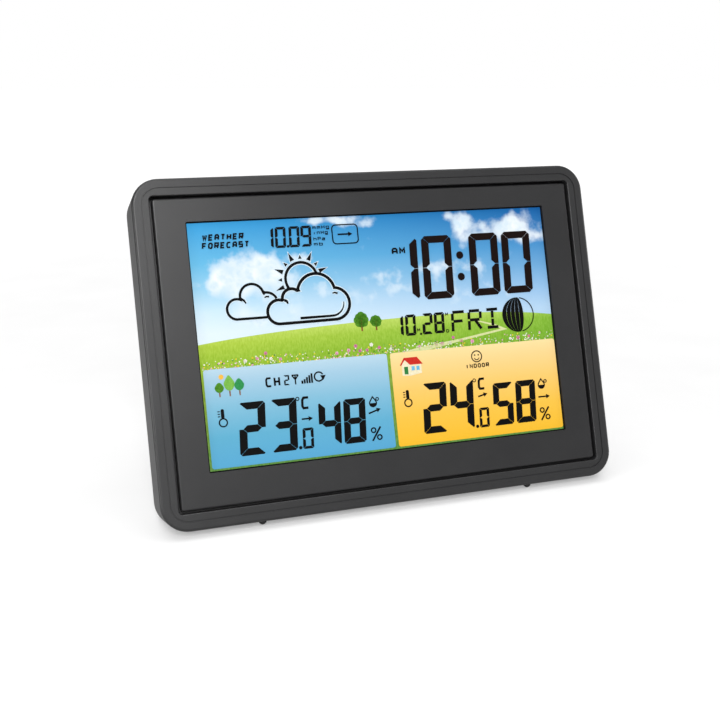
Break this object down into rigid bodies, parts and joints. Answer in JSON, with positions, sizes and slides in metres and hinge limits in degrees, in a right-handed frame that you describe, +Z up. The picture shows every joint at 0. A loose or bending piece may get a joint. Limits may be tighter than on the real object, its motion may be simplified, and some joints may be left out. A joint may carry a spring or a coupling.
{
  "type": "home weather station",
  "caption": "Leaning home weather station: a rounded case frames a wide colour display, with a fold-out stand, rear buttons, battery door and hang holes.",
  "frame": {"origin": "on the table, under the middle of the object's bounding box", "axes": "+X to the right seen from the front, +Y to the back, +Z up"},
  "size_m": [0.2, 0.0688, 0.1359],
  "materials": {
    "case_plastic": "moulded ABS, satin",
    "panel_plastic": "moulded ABS, satin",
    "button_plastic": "moulded ABS, satin",
    "plunger_plastic": "moulded",
    "foot_rubber": "moulded rubber",
    "display_face": "anti-glare film over a colour picture",
    "display_glass": "float glass",
    "colour_film": "printed film",
    "white_film": "film",
    "clear_acrylic": "polished acrylic",
    "white_plastic": "moulded",
    "led_white": "resin",
    "board_green": "fibreglass board with solder mask",
    "flex_amber": "polyimide film",
    "resin_black": "moulded",
    "nickel_plate": "nickel-plated steel",
    "screw_steel": "plated steel",
    "cell_jacket": "printed jacket with no marking",
    "lead_red": "insulated wire",
    "lead_black": "insulated wire",
    "ribbon_grey": "ribbon cable"
  },
  "bodies": {
    "case": {"front_frame": "case_plastic", "rear_cover": "case_plastic", "bezel_panel": "panel_plastic", "foot_left": "foot_rubber", "foot_right": "foot_rubber", "lcd_front_polariser": "display_face", "lcd_front_glass": "display_glass", "lcd_rear_glass": "display_glass", "colour_film": "colour_film", "diffuser_film": "white_film", "light_guide": "clear_acrylic", "reflector_film": "white_film", "backlight_tray": "white_plastic", "led_bar": "board_green", "leds": "led_white", "display_flex": "flex_amber", "main_board": "board_green", "processor_chip": "resin_black", "clock_crystal": "nickel_plate", "pressure_sensor": "nickel_plate", "climate_sensor": "white_plastic", "radio_module": "board_green", "radio_antenna": "lead_black", "buzzer": "resin_black", "dc_jack": "resin_black", "dc_jack_pin": "nickel_plate", "button_board": "board_green", "switch_bodies": "resin_black", "button_ribbon": "ribbon_grey", "cell_contacts": "nickel_plate", "cell_springs": "nickel_plate", "battery_lead_red": "lead_red", "battery_lead_black": "lead_black", "case_screws": "screw_steel", "board_screws": "screw_steel", "button_board_screws": "screw_steel", "cell_1": "cell_jacket", "cell_2": "cell_jacket", "cell_3": "cell_jacket"},
    "stand": {"stand": "case_plastic"},
    "battery_door": {"battery_door": "case_plastic"},
    "set_button": {"set_button": "button_plastic", "set_plunger": "plunger_plastic"},
    "up_button": {"up_button": "button_plastic", "up_plunger": "plunger_plastic"},
    "down_button": {"down_button": "button_plastic", "down_plunger": "plunger_plastic"},
    "channel_button": {"channel_button": "button_plastic", "channel_plunger": "plunger_plastic"},
    "alarm_button": {"alarm_button": "button_plastic", "alarm_plunger": "plunger_plastic"},
    "light_button": {"light_button": "button_plastic", "light_plunger": "plunger_plastic"}
  },
  "joints": [
    {"name": "stand_fold", "type": "hinge", "parent": "case", "child": "stand", "pos_m": [0, 0.00706, 0.05499], "axis": [-1, 0, 0], "range_deg": [0, 40.2]},
    {"name": "battery_door_lift", "type": "slide", "parent": "case", "child": "battery_door", "axis": [0, 0.9466, -0.3223], "range_m": [0, 0.03]},
    {"name": "set_press", "type": "slide", "parent": "case", "child": "set_button", "axis": [0, -0.9466, 0.3223], "range_m": [0, 0.0006], "stiffness_N_per_m": 800, "springref_m": -0.0004},
    {"name": "up_press", "type": "slide", "parent": "case", "child": "up_button", "axis": [0, -0.9466, 0.3223], "range_m": [0, 0.0006], "stiffness_N_per_m": 800, "springref_m": -0.0004},
    {"name": "down_press", "type": "slide", "parent": "case", "child": "down_button", "axis": [0, -0.9466, 0.3223], "range_m": [0, 0.0006], "stiffness_N_per_m": 800, "springref_m": -0.0004},
    {"name": "channel_press", "type": "slide", "parent": "case", "child": "channel_button", "axis": [0, -0.9466, 0.3223], "range_m": [0, 0.0006], "stiffness_N_per_m": 800, "springref_m": -0.0004},
    {"name": "alarm_press", "type": "slide", "parent": "case", "child": "alarm_button", "axis": [0, -0.9466, 0.3223], "range_m": [0, 0.0006], "stiffness_N_per_m": 800, "springref_m": -0.0004},
    {"name": "light_press", "type": "slide", "parent": "case", "child": "light_button", "axis": [0, -0.9466, 0.3223], "range_m": [0, 0.0006], "stiffness_N_per_m": 800, "springref_m": -0.0004}
  ]
}
